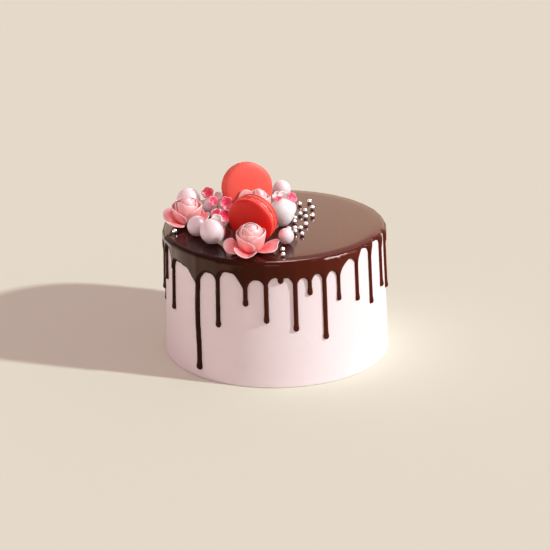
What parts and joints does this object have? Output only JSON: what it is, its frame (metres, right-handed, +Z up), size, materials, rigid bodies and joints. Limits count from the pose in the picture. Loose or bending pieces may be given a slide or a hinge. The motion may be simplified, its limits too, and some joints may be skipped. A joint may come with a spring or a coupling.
{
  "type": "drip cake",
  "caption": "Round uncut celebration cake with buttercream sides, a poured dark ganache top with drips, and macarons, wafer roses and chocolate balls on one side of the top.",
  "frame": {"origin": "on the surface the cake stands on, under the middle of its round base", "axes": "+Z up; -Y towards the side the picture shows, with the macarons facing it; +X to the right in that view"},
  "size_m": [0.181, 0.1802, 0.1448],
  "materials": {
    "buttercream": "smooth scraped buttercream, soft satin",
    "ganache": "set poured ganache, glossy",
    "macaron_shell": "baked almond meringue, satin with fine pores",
    "macaron_filling": "piped filling, matte",
    "chocolate_ball": "coated chocolate ball, pearly satin",
    "rose_petal": "moulded wafer paper, thin and translucent",
    "pink_blossom": "sugar blossom, satin",
    "white_blossom": "sugar blossom, matte",
    "silver": "silver sugar dragee, mirror-like"
  },
  "bodies": {
    "root": {"cake": "buttercream", "ganache": "ganache", "macaron_front_shell_a": "macaron_shell", "macaron_front_filling": "macaron_filling", "macaron_front_shell_b": "macaron_shell", "macaron_back_shell_a": "macaron_shell", "macaron_back_filling": "macaron_filling", "macaron_back_shell_b": "macaron_shell", "ball_1": "chocolate_ball", "ball_2": "chocolate_ball", "ball_3": "chocolate_ball", "ball_4": "chocolate_ball", "ball_5": "chocolate_ball", "ball_6": "chocolate_ball", "ball_7": "chocolate_ball", "ball_8": "chocolate_ball", "bead": "chocolate_ball", "egg": "chocolate_ball", "rose_left": "rose_petal", "rose_front": "rose_petal", "rose_back": "rose_petal", "blossom_pink_1": "pink_blossom", "blossom_pink_2": "pink_blossom", "blossom_pink_3": "pink_blossom", "blossom_pink_4": "pink_blossom", "blossom_pink_5": "pink_blossom", "blossom_pink_6": "pink_blossom", "blossom_pink_7": "pink_blossom", "blossom_pink_8": "pink_blossom", "blossom_white_1": "white_blossom", "blossom_white_2": "white_blossom", "blossom_white_3": "white_blossom", "blossom_white_4": "white_blossom"}
  },
  "joints": []
}
